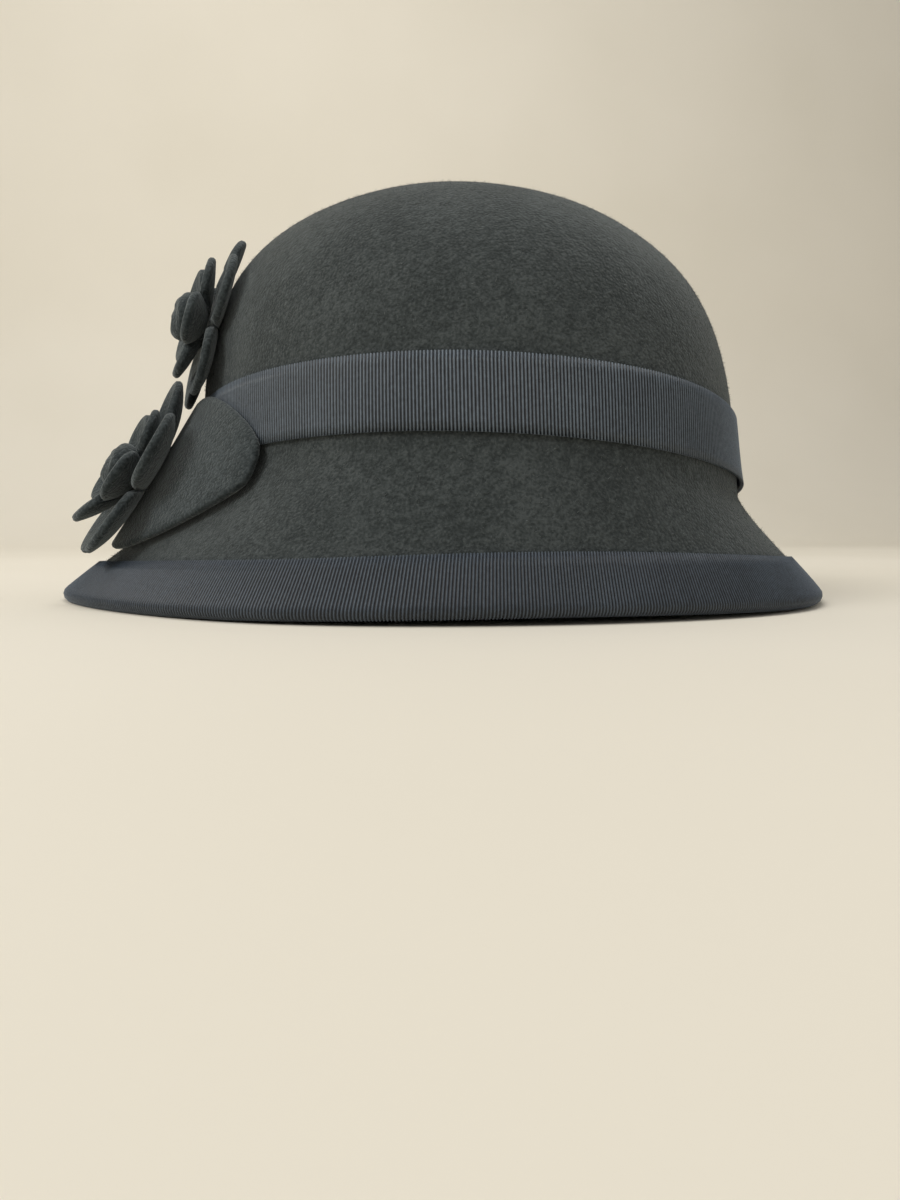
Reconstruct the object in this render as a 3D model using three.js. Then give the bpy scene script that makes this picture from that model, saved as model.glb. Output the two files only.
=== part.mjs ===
// A felt cloche hat: a moulded felt hood with a ribbon band, a ribbon-bound brim,
// a sweatband, and a spray of two felt flowers and a leaf on the wearer's right.
// Millimetres, +Z up. The hat rests on its brim at z = 0, and its front faces -Y.
// Azimuths run round the hat: 0 at the front, 90 at the plain side (+X),
// 180 at the back and 270 at the flower side (-X).
import * as THREE from "three";

// Driving sizes of the hood
const HALF_WIDTH = 86; // base of the crown, across
const HALF_LENGTH = 103; // base of the crown, front to back
const CROWN_HEIGHT = 92; // above the base, along the crown's own axis
const WALL_FULLNESS = 3.4; // how long the wall stays upright before it turns in
const TOP_FULLNESS = 2.25; // how flat the top is
const BASE_CENTRE = new THREE.Vector3(5.5, -11.5, 31.5);
const LEAN_BACK = THREE.MathUtils.degToRad(5.3);
const LEAN_ASIDE = THREE.MathUtils.degToRad(3.7);
const SWEEP = { aside: -0.06, back: 0.02 }; // how far the crown drifts for each millimetre of height
const FELT = 2.4; // wall of the hood
const BREAK_SOFTNESS = 6; // how far the wall runs on before the brim turns out
const BRIM_FLARE = 0.42; // share of the brim that keeps the edge's own slope
const EDGE_HEIGHT = 2.1; // middle of the felt's edge where the brim rests

// The brim's edge: reach is how far it stands out from the base of the crown,
// lift is how far it rises off the table
const BRIM = [
  { azimuth: 0, reach: 11, lift: 2 },
  { azimuth: 45, reach: 22, lift: 0.8 },
  { azimuth: 90, reach: 31, lift: 0 },
  { azimuth: 135, reach: 37, lift: 0 },
  { azimuth: 180, reach: 34, lift: 2.5 },
  { azimuth: 225, reach: 40, lift: 0 },
  { azimuth: 270, reach: 42, lift: 0 },
  { azimuth: 315, reach: 25, lift: 0.8 },
];

// Ribbons
const RIBBON = 1.0; // thickness
const GAP = 0.3; // clearance between pieces that lie on each other
const BAND = [3, 12.5, 22]; // heights of its rows on the crown
const SWEATBAND = [0, ...BAND];
const BINDING = { above: 12.5, below: 13 }; // how far it covers the brim from the edge
const FOLD = { start: 0.5, angles: [67.5, 22.5, -22.5, -67.5] }; // its turn over the edge, in degrees

// Flowers and leaf
const PETAL = 2.4; // felt of the petals and the leaf
const PETALS = 5;
const FLOWER_AZIMUTH = 282;
const UPPER_FLOWER = { height: 45.5, outer: 25, inner: 18, button: 6.5 };
const LOWER_FLOWER = { alongLeaf: 0.27, upLeaf: 0.43, outer: 26, inner: 19, button: 7 };
const NOTCH = 0.5; // radius at the notch between petals, as a share of the petal's reach
const LOBE_ROUNDNESS = 0.55;
const FLAT_MIDDLE = 8; // radius where the petals lie flat, under the button
const OUTER_CUP = 5; // how far the petal tips rise
const INNER_CUP = 7;
const BUTTON_HEIGHT = 8;
// The button's profile, as shares of its radius and height
const BUTTON_PROFILE = [
  { out: 0, up: 0 },
  { out: 0.86, up: 0 },
  { out: 1, up: 0.45 },
  { out: 0.72, up: 0.9 },
  { out: 0, up: 1 },
];

// The leaf, from its root behind the lower flower to its blunt tip at the front:
// low and high are distances from the base of the crown, up the wall or down the brim (negative)
const LEAF = [
  { azimuth: 269, low: -22, high: 8 },
  { azimuth: 274, low: -33, high: 17 },
  { azimuth: 283, low: -36, high: 20 },
  { azimuth: 291, low: -30, high: 19 },
  { azimuth: 298, low: -22, high: 15 },
  { azimuth: 303.5, low: -15.5, high: 9.5 },
  { azimuth: 306.5, low: -12, high: 5 },
  { azimuth: 307.8, low: -9.5, high: 1 },
];

// Facets
const ROUND = 48; // steps round the hat
const CROWN_ROWS = 9; // from the band to the top
const BRIM_ROWS = 4; // between the base and the binding
const LEAF_STEPS = 18;
const LEAF_ACROSS = 5;
const PETAL_STEPS = 8; // steps round each petal
const PETAL_ROWS = 4;
const BUTTON_SIDES = 14;

const feltMaterial = new THREE.MeshStandardMaterial({ color: 0x2b2f33, roughness: 0.95, metalness: 0 });
const ribbonMaterial = new THREE.MeshStandardMaterial({ color: 0x272e3a, roughness: 0.6, metalness: 0 });
const petalMaterial = new THREE.MeshStandardMaterial({ color: 0x25292d, roughness: 0.95, metalness: 0 });

const azimuthOf = (degrees) => THREE.MathUtils.degToRad(degrees);
const lerp = THREE.MathUtils.lerp;

// The hood's middle surface
const crownTurn = new THREE.Quaternion().setFromEuler(new THREE.Euler(-LEAN_BACK, LEAN_ASIDE, 0));
const crownAxis = new THREE.Vector3(0, 0, 1).applyQuaternion(crownTurn);

function crownPoint(azimuth, height) {
  const rise = Math.min(height / CROWN_HEIGHT, 1);
  const width = (1 - rise ** WALL_FULLNESS) ** (1 / TOP_FULLNESS);
  const across = SWEEP.aside * height + HALF_WIDTH * width * Math.sin(azimuth);
  const along = SWEEP.back * height - HALF_LENGTH * width * Math.cos(azimuth);
  return new THREE.Vector3(across, along, height).applyQuaternion(crownTurn).add(BASE_CENTRE);
}

function edgeRow({ azimuth, reach, lift }) {
  const turn = azimuthOf(azimuth);
  const outward = new THREE.Vector3(HALF_LENGTH * Math.sin(turn), -HALF_WIDTH * Math.cos(turn), 0);
  const base = new THREE.Vector3(
    BASE_CENTRE.x + HALF_WIDTH * Math.sin(turn),
    BASE_CENTRE.y - HALF_LENGTH * Math.cos(turn),
    EDGE_HEIGHT + lift,
  );
  return base.addScaledVector(outward.normalize(), reach);
}

const edgeCurve = new THREE.CatmullRomCurve3(BRIM.map(edgeRow), true, "catmullrom", 0.5);
const FULL_TURN = 2 * Math.PI;
const edgePoint = (azimuth) => edgeCurve.getPoint((azimuth / FULL_TURN + 1) % 1);

// The brim's run from the base of the crown (0) to its edge (1)
function brimCurve(azimuth) {
  const base = crownPoint(azimuth, 0);
  const edge = edgePoint(azimuth);
  const down = base.clone().addScaledVector(crownAxis, -BREAK_SOFTNESS);
  const flare = edge.clone().lerp(base, BRIM_FLARE);
  return new THREE.CubicBezierCurve3(base, down, flare, edge);
}

// A point of the middle surface at a distance from the base: up the wall, or down the brim if negative
function hoodPoint(azimuth, distance) {
  if (distance >= 0) return crownPoint(azimuth, distance);
  const curve = brimCurve(azimuth);
  return curve.getPointAt(Math.min(-distance / curve.getLength(), 1));
}

const brimLength = (azimuth) => brimCurve(azimuth).getLength();

// The outward normal of the middle surface, from points a little to each side
function hoodNormal(azimuth, distance) {
  const TURN_STEP = 0.01;
  const STEP = 0.4;
  const low = Math.max(distance - STEP, -brimLength(azimuth));
  const high = Math.min(distance + STEP, CROWN_HEIGHT);
  const up = hoodPoint(azimuth, high).sub(hoodPoint(azimuth, low));
  const round = hoodPoint(azimuth + TURN_STEP, distance).sub(hoodPoint(azimuth - TURN_STEP, distance));
  return round.cross(up).normalize();
}

const offHood = (azimuth, distance, offset) =>
  hoodPoint(azimuth, distance).addScaledVector(hoodNormal(azimuth, distance), offset);

const turns = Array.from({ length: ROUND }, (_, i) => (i * FULL_TURN) / ROUND);

// A closed body from rings of points. Rings join each to the next. A ring of one point is a pole,
// and where the first and last rings aren't poles they join too.
function bodyFromRings(rings) {
  const position = rings.flat().flatMap((p) => [p.x, p.y, p.z]);
  const starts = [];
  rings.reduce((start, ring) => (starts.push(start), start + ring.length), 0);
  const index = [];
  const joins = rings[0].length > 1 ? rings.length : rings.length - 1;
  for (let r = 0; r < joins; r++) {
    const next = (r + 1) % rings.length;
    const steps = Math.max(rings[r].length, rings[next].length);
    for (let i = 0; i < steps; i++) {
      const j = (i + 1) % steps;
      const a = starts[r] + (i % rings[r].length);
      const b = starts[r] + (j % rings[r].length);
      const c = starts[next] + (i % rings[next].length);
      const d = starts[next] + (j % rings[next].length);
      if (a !== b) index.push(a, b, c);
      if (c !== d) index.push(b, d, c);
    }
  }
  if (signedVolume(position, index) < 0) index.reverse();
  const geometry = new THREE.BufferGeometry();
  geometry.setAttribute("position", new THREE.Float32BufferAttribute(position, 3));
  geometry.setIndex(index);
  geometry.computeVertexNormals();
  return geometry;
}

function signedVolume(position, index) {
  const corner = (k) => new THREE.Vector3().fromArray(position, 3 * index[k]);
  let volume = 0;
  for (let k = 0; k < index.length; k += 3) volume += corner(k).dot(corner(k + 1).cross(corner(k + 2))) / 6;
  return volume;
}

function namedMesh(name, geometry, material) {
  const mesh = new THREE.Mesh(geometry, material);
  mesh.name = name;
  return mesh;
}

// The felt hood: an outer skin from the top of the crown to the brim's edge, and an inner skin back up
function feltHood() {
  const rows = [];
  const bandSweep = Math.asin((BAND.at(-1) / CROWN_HEIGHT) ** (WALL_FULLNESS / 2));
  for (let i = 1; i < CROWN_ROWS; i++) {
    const sweep = lerp(Math.PI / 2, bandSweep, i / CROWN_ROWS);
    rows.push(() => CROWN_HEIGHT * Math.sin(sweep) ** (2 / WALL_FULLNESS));
  }
  SWEATBAND.toReversed().forEach((height) => rows.push(() => height));
  const bare = (azimuth) => brimLength(azimuth) - BINDING.above;
  for (let i = 1; i <= BRIM_ROWS; i++) rows.push((azimuth) => (-bare(azimuth) * i) / BRIM_ROWS);
  rows.push((azimuth) => BINDING.above / 2 - brimLength(azimuth));
  rows.push((azimuth) => -brimLength(azimuth));
  const skin = (offset) => [
    [crownPoint(0, CROWN_HEIGHT).addScaledVector(crownAxis, offset)],
    ...rows.map((row) => turns.map((azimuth) => offHood(azimuth, row(azimuth), offset))),
  ];
  const edge = turns.map((azimuth) => aroundEdge(azimuth, FELT / 2, 0));
  return bodyFromRings([...skin(FELT / 2), edge, ...skin(-FELT / 2).reverse()]);
}

// A point at a radius round the felt's edge: angle 90 is over the edge, 0 straight out, -90 under it
function aroundEdge(azimuth, radius, angle) {
  const length = brimLength(azimuth);
  const edge = hoodPoint(azimuth, -length);
  const up = hoodNormal(azimuth, -length);
  const out = edge.clone().sub(hoodPoint(azimuth, 1 - length)).normalize();
  return edge.addScaledVector(up, radius * Math.sin(angle)).addScaledVector(out, radius * Math.cos(angle));
}

// A ribbon round the crown, on the hood's outside (side 1) or inside (side -1)
function crownRibbon(heights, side) {
  const under = side * (FELT / 2 + GAP);
  const over = side * (FELT / 2 + GAP + RIBBON);
  const ring = (height, offset) => turns.map((azimuth) => offHood(azimuth, height, offset));
  return bodyFromRings([
    ...heights.map((height) => ring(height, under)),
    ...heights.toReversed().map((height) => ring(height, over)),
  ]);
}

// The ribbon folded over the brim's edge, pressed flat where it rests on the table
function brimBinding() {
  const foldAngles = FOLD.angles.map(azimuthOf);
  const skin = (offset) => {
    const onBrim = (inset, side) =>
      turns.map((azimuth) => offHood(azimuth, inset - brimLength(azimuth), side * offset));
    return [
      onBrim(BINDING.above, 1),
      onBrim(BINDING.above / 2, 1),
      onBrim(FOLD.start, 1),
      ...foldAngles.map((angle) => turns.map((azimuth) => aroundEdge(azimuth, offset, angle))),
      onBrim(FOLD.start, -1),
      onBrim(BINDING.below / 2, -1),
      onBrim(BINDING.below, -1),
    ];
  };
  const pressed = (ring) => ring.map((p) => new THREE.Vector3(p.x, p.y, Math.max(p.z, 0)));
  const outside = skin(FELT / 2 + GAP + RIBBON).map(pressed);
  const inside = skin(FELT / 2 + GAP);
  return bodyFromRings([...outside, ...inside.reverse()]);
}

// The leaf: each section spans from the wall to the brim, over the band
const LEAF_UNDERSIDE = FELT / 2 + GAP + RIBBON + GAP;
const leafRows = new THREE.CatmullRomCurve3(
  LEAF.map(({ azimuth, low, high }) => new THREE.Vector3(azimuthOf(azimuth), low, high)),
);

function leafSection({ x: azimuth, y: low, z: high }) {
  const lower = offHood(azimuth, low, LEAF_UNDERSIDE);
  const upper = offHood(azimuth, high, LEAF_UNDERSIDE);
  const upward = upper.clone().sub(lower).normalize();
  const facing = new THREE.Vector3(Math.cos(azimuth), Math.sin(azimuth), 0).cross(upward).normalize();
  return { lower, upper, upward, facing };
}

function leaf() {
  const middles = [];
  const sections = leafRows.getPoints(LEAF_STEPS).map((row) => {
    const { lower, upper, facing } = leafSection(row);
    const under = [];
    for (let i = 0; i <= LEAF_ACROSS; i++) under.push(lower.clone().lerp(upper, i / LEAF_ACROSS));
    const over = under.map((p) => p.clone().addScaledVector(facing, PETAL)).reverse();
    middles.push(lower.clone().lerp(upper, 0.5).addScaledVector(facing, PETAL / 2));
    return [...under, ...over];
  });
  return bodyFromRings([[middles[0]], ...sections, [middles.at(-1)]]);
}

// One layer of petals, cut from a single piece of felt and cupped. It lies on z = 0 and faces +Z.
function petalLayer(reach, cup, turned) {
  const steps = PETALS * PETAL_STEPS;
  const lobe = (angle) => Math.abs(Math.cos((PETALS * angle) / 2)) ** LOBE_ROUNDNESS;
  const outline = (angle) => reach * lerp(NOTCH, 1, lobe(angle));
  const ring = (share, height) =>
    Array.from({ length: steps }, (_, i) => {
      const angle = (i * FULL_TURN) / steps;
      const radius = outline(angle) * share;
      const rise = Math.max(0, (radius - FLAT_MIDDLE) / (reach - FLAT_MIDDLE));
      const facing = angle + turned + Math.PI / 2;
      const cupped = height + cup * rise ** 2;
      return new THREE.Vector3(radius * Math.cos(facing), radius * Math.sin(facing), cupped);
    });
  const shares = Array.from({ length: PETAL_ROWS }, (_, i) => (i + 1) / PETAL_ROWS);
  return bodyFromRings([
    [new THREE.Vector3(0, 0, PETAL)],
    ...shares.map((share) => ring(share, PETAL)),
    ...shares.toReversed().map((share) => ring(share, 0)),
    [new THREE.Vector3(0, 0, 0)],
  ]);
}

// The rolled felt button in the middle of a flower
function flowerButton(radius) {
  const profile = BUTTON_PROFILE.map(({ out, up }) => new THREE.Vector2(radius * out, BUTTON_HEIGHT * up));
  const button = new THREE.LatheGeometry(profile, BUTTON_SIDES);
  return button.rotateX(Math.PI / 2);
}

// A flower on its seat: outer petals, inner petals turned half a petal, and the button
function flower(name, { outer, inner, button }, seat, facing, upward) {
  const group = new THREE.Group();
  const side = upward.clone().cross(facing).normalize();
  const up = facing.clone().cross(side).normalize();
  group.quaternion.setFromRotationMatrix(new THREE.Matrix4().makeBasis(side, up, facing));
  group.position.copy(seat);
  const layers = [
    namedMesh(name + "_outer", petalLayer(outer, OUTER_CUP, 0), petalMaterial),
    namedMesh(name + "_inner", petalLayer(inner, INNER_CUP, Math.PI / PETALS), petalMaterial),
    namedMesh(name + "_centre", flowerButton(button), petalMaterial),
  ];
  layers.forEach((mesh, i) => {
    mesh.position.z = i * (PETAL + GAP);
    group.add(mesh);
  });
  return group;
}

function upperFlower() {
  const turn = azimuthOf(FLOWER_AZIMUTH);
  const { height } = UPPER_FLOWER;
  const facing = hoodNormal(turn, height);
  const seat = offHood(turn, height, FELT / 2 + GAP);
  return flower("upper_flower", UPPER_FLOWER, seat, facing, crownAxis);
}

// The lower flower sits on the leaf, about halfway along its span between the wall and the brim
function lowerFlower() {
  const { lower, upper, facing, upward } = leafSection(leafRows.getPoint(LOWER_FLOWER.alongLeaf));
  const seat = lower.clone().lerp(upper, LOWER_FLOWER.upLeaf).addScaledVector(facing, PETAL + GAP);
  return flower("lower_flower", LOWER_FLOWER, seat, facing, upward);
}

const hat = new THREE.Group();
hat.add(
  namedMesh("felt_hood", feltHood(), feltMaterial),
  namedMesh("hat_band", crownRibbon(BAND, 1), ribbonMaterial),
  namedMesh("brim_binding", brimBinding(), ribbonMaterial),
  namedMesh("sweatband", crownRibbon(SWEATBAND, -1), ribbonMaterial),
  namedMesh("leaf", leaf(), petalMaterial),
  upperFlower(),
  lowerFlower(),
);

export default hat;
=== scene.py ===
# %% [markdown]
# # A felt cloche with a ribbon band and two felt flowers
# The hat is one hood of blocked wool felt. Ribbon goes round the crown, over the edge of the brim
# and inside as a sweatband, and a leaf and two flowers of cut felt are sewn on one side.
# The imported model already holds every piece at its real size. This lesson dresses it: each solid
# is replaced by a finer mesh from the same measures, with ribs, nap and cut edges as real geometry.

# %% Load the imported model
import math

import bpy
import numpy as np
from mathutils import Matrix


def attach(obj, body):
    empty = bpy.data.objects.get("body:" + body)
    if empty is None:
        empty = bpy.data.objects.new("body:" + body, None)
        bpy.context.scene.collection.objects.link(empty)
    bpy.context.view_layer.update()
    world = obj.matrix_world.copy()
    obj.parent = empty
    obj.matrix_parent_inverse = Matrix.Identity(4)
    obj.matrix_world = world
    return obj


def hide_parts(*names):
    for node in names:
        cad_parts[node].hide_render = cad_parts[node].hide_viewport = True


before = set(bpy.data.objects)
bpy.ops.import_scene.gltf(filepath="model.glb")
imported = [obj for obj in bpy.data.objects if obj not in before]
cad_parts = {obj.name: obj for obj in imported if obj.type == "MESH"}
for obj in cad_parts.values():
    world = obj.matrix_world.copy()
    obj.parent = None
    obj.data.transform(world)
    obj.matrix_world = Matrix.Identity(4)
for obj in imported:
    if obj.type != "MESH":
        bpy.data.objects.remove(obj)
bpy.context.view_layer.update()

MM = 0.001  # the sizes below are in millimetres, and Blender's are in metres

# %% [markdown]
# ## The shape of the hood
# A hatter blocks a felt cone over a wooden crown and irons the brim out of the same felt, so crown
# and brim are one skin. It could be sculpted by hand, but every other piece lies on this skin, so it
# is written as a function instead: a place on the hood is an azimuth round the hat and a distance
# from the base of the crown, up the wall or (negative) down the brim.

# %% Sizes of the hood
HALF_WIDTH = 86.0
HALF_LENGTH = 103.0
CROWN_HEIGHT = 92.0
WALL_FULLNESS = 3.4  # how long the wall stays upright before it turns in
TOP_FULLNESS = 2.25  # how flat the top is
BASE_CENTRE = np.array([5.5, -11.5, 31.5])
LEAN_BACK = math.radians(5.3)
LEAN_ASIDE = math.radians(3.7)
SWEEP_ASIDE, SWEEP_BACK = -0.06, 0.02  # how far the crown drifts for each millimetre of height
FELT = 2.4  # wall of the hood
BREAK_SOFTNESS = 6.0  # how far the wall runs on before the brim turns out
BRIM_FLARE = 0.42  # share of the brim that keeps the edge's own slope
EDGE_HEIGHT = 2.1  # middle of the felt's edge where the brim rests
GAP = 0.3  # clearance between pieces that lie on each other

# One row for each eighth of a turn from the front: how far the edge stands out, and how far it lifts
BRIM_REACH = np.array([11, 22, 31, 37, 34, 40, 42, 25], float)
BRIM_LIFT = np.array([2, 0.8, 0, 0, 2.5, 0, 0, 0.8])
FULL_TURN = 2 * math.pi


def unit(vectors):
    return vectors / np.linalg.norm(vectors, axis=-1, keepdims=True)


def stack(x, y, z):
    return np.stack(np.broadcast_arrays(x, y, z), axis=-1).astype(float)


lean = np.array([
    [1, 0, 0],
    [0, math.cos(LEAN_BACK), math.sin(LEAN_BACK)],
    [0, -math.sin(LEAN_BACK), math.cos(LEAN_BACK)],
]) @ np.array([
    [math.cos(LEAN_ASIDE), 0, math.sin(LEAN_ASIDE)],
    [0, 1, 0],
    [-math.sin(LEAN_ASIDE), 0, math.cos(LEAN_ASIDE)],
])
crown_axis = lean[:, 2]
print("the crown's axis:", crown_axis.round(3))

# %% Points of the crown and of the brim's edge


def crown_point(azimuth, height):
    width = (1 - np.clip(height / CROWN_HEIGHT, 0, 1) ** WALL_FULLNESS) ** (1 / TOP_FULLNESS)
    across = SWEEP_ASIDE * height + HALF_WIDTH * width * np.sin(azimuth)
    along = SWEEP_BACK * height - HALF_LENGTH * width * np.cos(azimuth)
    return stack(across, along, height) @ lean.T + BASE_CENTRE


row_turn = np.arange(len(BRIM_REACH)) * FULL_TURN / len(BRIM_REACH)
row_out = unit(stack(HALF_LENGTH * np.sin(row_turn), -HALF_WIDTH * np.cos(row_turn), 0))
row_base = stack(
    BASE_CENTRE[0] + HALF_WIDTH * np.sin(row_turn),
    BASE_CENTRE[1] - HALF_LENGTH * np.cos(row_turn),
    EDGE_HEIGHT + BRIM_LIFT,
)
edge_rows = row_base + row_out * BRIM_REACH[:, None]


def edge_point(azimuth):
    """A smooth closed curve through the rows of the brim's edge."""
    place = (azimuth / FULL_TURN % 1) * len(edge_rows)
    row = np.floor(place).astype(int)
    t = (place - row)[..., None]
    before, start, end, after = (edge_rows[(row + k) % len(edge_rows)] for k in (-1, 0, 1, 2))
    leave, arrive = (end - before) / 2, (after - start) / 2
    return (
        start + leave * t
        + (3 * (end - start) - 2 * leave - arrive) * t ** 2
        + (2 * (start - end) + leave + arrive) * t ** 3
    )


def brim_bend(azimuth, t):
    """The brim's run, from the base of the crown at t = 0 to its edge at t = 1."""
    base, edge = crown_point(azimuth, np.zeros_like(azimuth)), edge_point(azimuth)
    down = base - crown_axis * BREAK_SOFTNESS
    flare = edge + (base - edge) * BRIM_FLARE
    t = np.asarray(t)[..., None]
    return (
        (1 - t) ** 3 * base + 3 * (1 - t) ** 2 * t * down
        + 3 * (1 - t) * t ** 2 * flare + t ** 3 * edge
    )


print("width and length of the edge:", np.ptp(edge_rows, axis=0)[:2].round(1), "mm")

# %% Distances along the brim
TABLE_TURNS, TABLE_STEPS = 720, 64
table_turn = np.linspace(0, FULL_TURN, TABLE_TURNS + 1)
table_t = np.linspace(0, 1, TABLE_STEPS + 1)
table_points = brim_bend(table_turn[:, None] + 0 * table_t, 0 * table_turn[:, None] + table_t)
table_run = np.linalg.norm(np.diff(table_points, axis=1), axis=-1).cumsum(axis=1)
table_run = np.concatenate([np.zeros((TABLE_TURNS + 1, 1)), table_run], axis=1)
t_of_share = np.array([np.interp(table_t, run / run[-1], table_t) for run in table_run])


def brim_length(azimuth):
    return np.interp(azimuth % FULL_TURN, table_turn, table_run[:, -1])


def bend_step(azimuth, share):
    """The curve's own t at a share of the brim's length."""
    turn = azimuth / FULL_TURN % 1 * TABLE_TURNS
    step = share * TABLE_STEPS
    i = np.minimum(turn.astype(int), TABLE_TURNS - 1)
    k = np.minimum(step.astype(int), TABLE_STEPS - 1)
    f, g = turn - i, step - k
    low = t_of_share[i, k] * (1 - g) + t_of_share[i, k + 1] * g
    high = t_of_share[i + 1, k] * (1 - g) + t_of_share[i + 1, k + 1] * g
    return low * (1 - f) + high * f


def smooth_hood(azimuth, distance):
    azimuth, distance = np.broadcast_arrays(np.asarray(azimuth, float), np.asarray(distance, float))
    share = np.clip(-distance / brim_length(azimuth), 0, 1)
    on_brim = brim_bend(azimuth, bend_step(azimuth, share))
    on_crown = crown_point(azimuth, np.maximum(distance, 0))
    return np.where((distance < 0)[..., None], on_brim, on_crown)


def hood_normal(azimuth, distance):
    azimuth, distance = np.broadcast_arrays(np.asarray(azimuth, float), np.asarray(distance, float))
    step, turn_step = 0.4, 0.01
    low = np.maximum(distance - step, -brim_length(azimuth))
    high = np.minimum(distance + step, CROWN_HEIGHT)
    up = smooth_hood(azimuth, high) - smooth_hood(azimuth, low)
    aside = smooth_hood(azimuth + turn_step, distance) - smooth_hood(azimuth - turn_step, distance)
    return unit(np.cross(aside, up))


print("the brim is", brim_length(row_turn).round(1), "mm deep, from the front round")

# %% [markdown]
# Felt that was blocked by hand is never a perfect surface. A few slow waves, each a few tenths of a
# millimetre, are added along the normal. Band, binding and leaf use the same waves, so they stay
# seated on the felt.

# %% The hand-blocked surface
UNEVEN = 0.35  # millimetres
CALM_TOP, CALM_EDGE = 30.0, 20.0  # the waves fade out this near the top and the bound edge
# Each wave: its share, how many go round the hat, the millimetres for one radian of it, its start
WAVES = ((1.0, 2, 31, 0.6), (0.7, 3, -23, 1.9), (0.5, 5, 17, 4.0), (0.3, 9, -11, 0.0))


def unevenness(azimuth, distance):
    calm_top = np.clip((CROWN_HEIGHT - distance) / CALM_TOP, 0, 1)
    calm_edge = np.clip((brim_length(azimuth) + distance) / CALM_EDGE, 0, 1)
    waves = sum(
        share * np.sin(count * azimuth + distance / run + start)
        for share, count, run, start in WAVES
    )
    return UNEVEN * calm_top * calm_edge * waves


def on_hood(azimuth, distance, offset):
    """A point at an offset from the middle of the felt: positive is outside the hat."""
    away = np.asarray(offset + unevenness(azimuth, distance))
    return smooth_hood(azimuth, distance) + hood_normal(azimuth, distance) * away[..., None]


print("largest unevenness:", round(float(abs(unevenness(table_turn, 0 * table_turn)).max()), 2), "mm")

# %% [markdown]
# ## From rings of points to a mesh
# The hood, the ribbons and the petals are all rings of points, each joined to the next. One helper
# turns such rings into a closed mesh with its faces outwards, and another makes the object, with its
# place in the mesh and the object itself at the origin.

# %% Meshes from rings


def ring_faces(rows, columns, closed):
    r = np.arange(rows if closed else rows - 1)[:, None]
    c = np.arange(columns)[None, :]
    here, there = r * columns, (r + 1) % rows * columns
    beside = (c + 1) % columns
    return np.stack([here + c, here + beside, there + beside, there + c], axis=-1).reshape(-1, 4)


def pole_faces(pole, first, columns, turned):
    c = np.arange(columns)
    fan = np.stack([np.full(columns, pole), first + (c + 1) % columns, first + c], axis=-1)
    return fan[:, ::-1] if turned else fan


def faces_outward(points, quads, fans):
    """Turns every face round if the body is inside out."""
    triangles = np.concatenate([quads[:, [0, 1, 2]], quads[:, [0, 2, 3]], fans])
    a, b, c = (points[triangles[:, k]] for k in range(3))
    turned = np.einsum("ij,ij->i", a, np.cross(b, c)).sum() < 0
    return (quads[:, ::-1], fans[:, ::-1]) if turned else (quads, fans)


def body_of_rings(name, rings, start_pole=None, end_pole=None):
    """A closed mesh. With no poles the last ring joins the first."""
    rows, columns = rings.shape[:2]
    points = rings.reshape(-1, 3)
    quads = ring_faces(rows, columns, closed=start_pole is None)
    fans = np.zeros((0, 3), int)
    if start_pole is not None:
        count = len(points)
        points = np.concatenate([points, [start_pole, end_pole]])
        fans = np.concatenate([
            pole_faces(count, 0, columns, False),
            pole_faces(count + 1, count - columns, columns, True),
        ])
    quads, fans = faces_outward(points, quads, fans)
    mesh = bpy.data.meshes.new(name)
    mesh.from_pydata((points * MM).tolist(), [], quads.tolist() + fans.tolist())
    mesh.shade_smooth()
    return mesh


def new_object(name, mesh):
    piece = bpy.data.objects.new(name, mesh)
    bpy.context.scene.collection.objects.link(piece)
    return piece


def triangles_of(mesh):
    return sum(len(face.vertices) - 2 for face in mesh.polygons)


print("mesh helpers ready")

# %% [markdown]
# ## Felt
# Wool felt is a mat of crossed fibres, so it has no weave: it is matt, slightly mottled, and it
# catches light along its outline where fibres stand up. Noise at three scales gives the mottling,
# a fine bump gives the matted surface, and sheen gives the pale rim. Sizes are in Object
# coordinates, which are metres here, so a noise scale of 400 makes blots of a few millimetres.

# %% Helpers for materials


def new_material(name, roughness, sheen, sheen_roughness, sheen_tint):
    material = bpy.data.materials.new(name)
    material.use_nodes = True
    tree = material.node_tree
    shader = tree.nodes["Principled BSDF"]
    shader.inputs["Roughness"].default_value = roughness
    shader.inputs["Specular IOR Level"].default_value = 0.25
    shader.inputs["Sheen Weight"].default_value = sheen
    shader.inputs["Sheen Roughness"].default_value = sheen_roughness
    shader.inputs["Sheen Tint"].default_value = (*sheen_tint, 1)
    return material, tree, shader


def noise(tree, scale, detail, place=None):
    node = tree.nodes.new("ShaderNodeTexNoise")
    node.inputs["Scale"].default_value = scale
    node.inputs["Detail"].default_value = detail
    if place is None:
        place = tree.nodes.new("ShaderNodeTexCoord").outputs["Object"]
    tree.links.new(place, node.inputs["Vector"])
    return node.outputs["Fac"]


def math_node(tree, operation, first, second):
    node = tree.nodes.new("ShaderNodeMath")
    node.operation = operation
    for socket, value in zip(node.inputs, (first, second)):
        if isinstance(value, (int, float)):
            socket.default_value = value
        else:
            tree.links.new(value, socket)
    return node.outputs[0]


def colour_steps(tree, factor, steps):
    """A colour ramp from (place, colour) steps."""
    node = tree.nodes.new("ShaderNodeValToRGB")
    ramp = node.color_ramp
    while len(ramp.elements) < len(steps):
        ramp.elements.new(1)
    for element, (place, colour) in zip(ramp.elements, steps):
        element.position = place
        element.color = (*colour, 1)
    tree.links.new(factor, node.inputs["Fac"])
    return node.outputs["Color"]


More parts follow.
